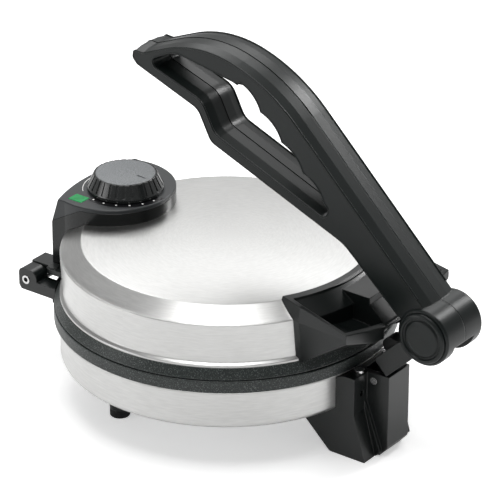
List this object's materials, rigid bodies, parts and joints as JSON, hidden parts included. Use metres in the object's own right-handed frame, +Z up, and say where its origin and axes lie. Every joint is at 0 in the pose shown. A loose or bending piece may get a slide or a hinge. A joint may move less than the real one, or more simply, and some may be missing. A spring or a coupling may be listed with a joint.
{
  "type": "electric roti maker",
  "caption": "Countertop flatbread press: round hinged lid and base with heated plates, long folding press lever on a front leg, rear control knob.",
  "frame": {"origin": "middle of the object's outline on the worktop, at the level of its feet", "axes": "+Z up, -Y towards the front leg and lever hub, +Y towards the rear hinge, X across along the hinge pin"},
  "size_m": [0.2344, 0.3258, 0.2576],
  "materials": {
    "stainless": "satin brushed stainless steel",
    "pan_steel": "dull galvanised steel",
    "plate_coating": "cast, with a dark speckled non-stick coating",
    "element_sheath": "heat-tinted sheath",
    "plated_steel": "bright plated",
    "black_moulding": "satin black moulding",
    "cover_grey": "satin dark grey",
    "knob_face": "satin grey",
    "dial_black": "gloss black",
    "foot_rubber": "matt black",
    "lens_green": "translucent green",
    "lens_red": "translucent red",
    "lamp_glass": "clear",
    "bush_brass": "machined"
  },
  "bodies": {
    "base": {"base_shell": "stainless", "base_pan": "pan_steel", "foot_posts": "black_moulding", "rubber_feet": "foot_rubber", "foot_screws": "plated_steel", "lower_plate": "plate_coating", "lower_heater": "element_sheath", "lower_shield": "pan_steel", "base_studs": "plated_steel", "thermal_cutout": "plated_steel", "terminal_block": "black_moulding", "cord_gland": "foot_rubber", "front_leg": "black_moulding", "leg_screws": "plated_steel", "leg_top_screws": "plated_steel", "link_pin": "plated_steel", "link_spring": "plated_steel", "hinge_bracket": "black_moulding", "bracket_screws": "plated_steel", "hinge_pin": "plated_steel"},
    "lid": {"lid_shell": "stainless", "upper_plate": "plate_coating", "upper_heater": "element_sheath", "upper_shield": "pan_steel", "lid_studs": "plated_steel", "lid_hinge_block": "black_moulding", "hinge_screws": "plated_steel", "control_housing": "black_moulding", "control_cover": "cover_grey", "pod_screws": "plated_steel", "dial_plate": "dial_black", "green_lens": "lens_green", "red_lens": "lens_red", "indicator_lamps": "lamp_glass", "thermostat_body": "black_moulding", "thermostat_nut": "plated_steel", "front_handle": "black_moulding", "handle_screws": "plated_steel"},
    "knob": {"knob_skirt": "black_moulding", "knob_cap": "knob_face", "thermostat_shaft": "plated_steel"},
    "link": {"lever_link": "black_moulding", "pivot_bush": "bush_brass"},
    "lever": {"lever_left_half": "black_moulding", "lever_right_half": "black_moulding", "lever_screws": "plated_steel", "hub_cap_left": "black_moulding", "hub_cap_right": "black_moulding", "lever_pivot_bolt": "plated_steel", "lever_pivot_nut": "plated_steel"}
  },
  "joints": [
    {"name": "link_press", "type": "hinge", "parent": "base", "child": "link", "pos_m": [0, -0.1005, 0.054], "axis": [-1, 0, 0], "range_deg": [0, 12], "stiffness_Nm_per_rad": 0.4, "springref_deg": -45.84},
    {"name": "lever_swing", "type": "hinge", "parent": "link", "child": "lever", "pos_m": [0, -0.1434, 0.1029], "axis": [1, 0, 0], "range_deg": [0, 104]},
    {"name": "lid_hinge", "type": "hinge", "parent": "base", "child": "lid", "pos_m": [0, 0.1565, 0.07], "axis": [-1, 0, 0], "range_deg": [0, 81.22]},
    {"name": "knob_turn", "type": "hinge", "parent": "lid", "child": "knob", "pos_m": [0, 0.1159, 0.129], "axis": [0, 0, 1], "range_deg": [-200, 0]}
  ],
  "couplings": [
    {"joint": "lid_hinge", "follows": "lever_swing", "ratio": 0.78}
  ]
}
